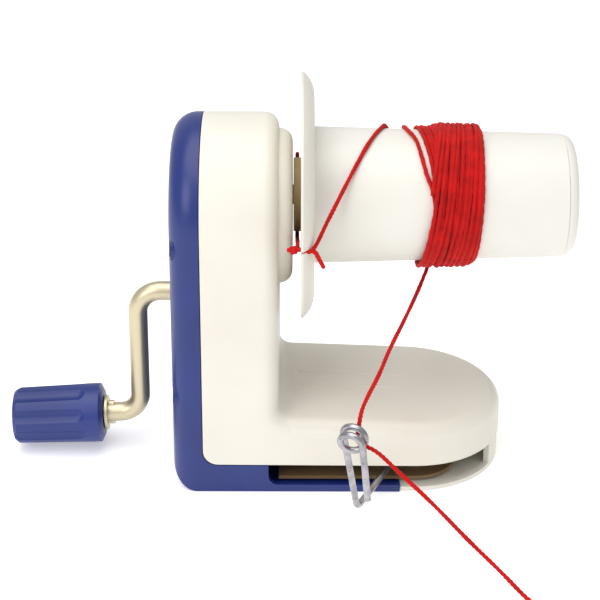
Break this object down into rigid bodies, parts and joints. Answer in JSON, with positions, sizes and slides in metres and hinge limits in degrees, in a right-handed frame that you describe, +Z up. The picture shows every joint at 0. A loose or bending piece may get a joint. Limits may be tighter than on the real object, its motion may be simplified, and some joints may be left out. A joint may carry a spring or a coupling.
{
  "type": "hand-cranked yarn winder",
  "caption": "Hand-cranked yarn winder: a geared crank spins a flanged spool on an upright housing while a pivoting wire guide feeds red yarn.",
  "frame": {"origin": "on the standing surface, in the centre plane, below the column's front face", "axes": "+X along the spool to its free end, +Z up, the guide slot on the -Y side"},
  "size_m": [0.2317, 0.1718, 0.165],
  "materials": {
    "white_plastic": "smooth moulded polystyrene, warm white, soft gloss",
    "blue_plastic": "smooth moulded polystyrene, royal blue, soft gloss",
    "grip_plastic": "moulded blue plastic, soft gloss",
    "grey_plastic": "plain moulded plastic, unpolished",
    "cream_plastic": "moulded plastic, cream",
    "pale_plastic": "moulded plastic, pale grey",
    "acetal": "moulded acetal, natural white",
    "yellow_zinc": "steel rod, yellow zinc plated with a faint rainbow tint",
    "steel": "bright steel",
    "guide_wire": "nickel-plated spring wire",
    "red_yarn": "plied wool yarn, scarlet, slightly fuzzy"
  },
  "bodies": {
    "stand": {"front_housing": "white_plastic", "back_housing": "blue_plastic", "nose_pan": "white_plastic", "guide_plate": "grey_plastic", "bearing_plate": "grey_plastic", "crank_rear_bushing": "acetal", "crank_front_bushing": "acetal", "spool_rear_bushing": "acetal", "spool_front_bushing": "acetal", "guide_pin": "steel", "guide_washers": "steel", "housing_screws": "steel", "base_screws": "steel", "yarn_feed": "red_yarn"},
    "crank": {"crank_rod": "yellow_zinc", "drive_gear": "acetal", "gear_pin": "steel", "crank_clip": "steel", "grip_washer": "steel", "grip_retainer": "steel"},
    "grip": {"crank_grip": "grip_plastic", "grip_cap": "pale_plastic"},
    "spool": {"spool_shaft": "steel", "spool_pinion": "acetal", "pinion_pin": "steel", "spool_clip": "steel", "spool_hub": "cream_plastic", "flange_disc": "white_plastic", "spool_barrel": "white_plastic", "spool_end_cap": "white_plastic", "spool_washer": "steel", "spool_screw": "steel", "yarn_wound": "red_yarn", "yarn_lead": "red_yarn", "yarn_tail": "red_yarn", "yarn_noose": "red_yarn", "yarn_knot": "red_yarn"},
    "guide": {"yarn_guide": "guide_wire"}
  },
  "joints": [
    {"name": "crank_turn", "type": "hinge", "parent": "stand", "child": "crank", "pos_m": [0, 0, 0.072], "axis": [1, 0, 0], "continuous": true},
    {"name": "grip_spin", "type": "hinge", "parent": "crank", "child": "grip", "pos_m": [-0.0745, 0, 0.0154], "axis": [0.999, 0, 0.0454], "continuous": true},
    {"name": "spool_spin", "type": "hinge", "parent": "stand", "child": "spool", "pos_m": [0, 0, 0.115], "axis": [1, 0, 0], "continuous": true},
    {"name": "guide_swing", "type": "hinge", "parent": "stand", "child": "guide", "pos_m": [0.0548, 0, 0.008], "axis": [0, 0, 1], "range_deg": [-24, 71], "deforming": ["yarn_feed"]}
  ],
  "couplings": [
    {"joint": "spool_spin", "follows": "crank_turn", "ratio": -2.5833}
  ]
}
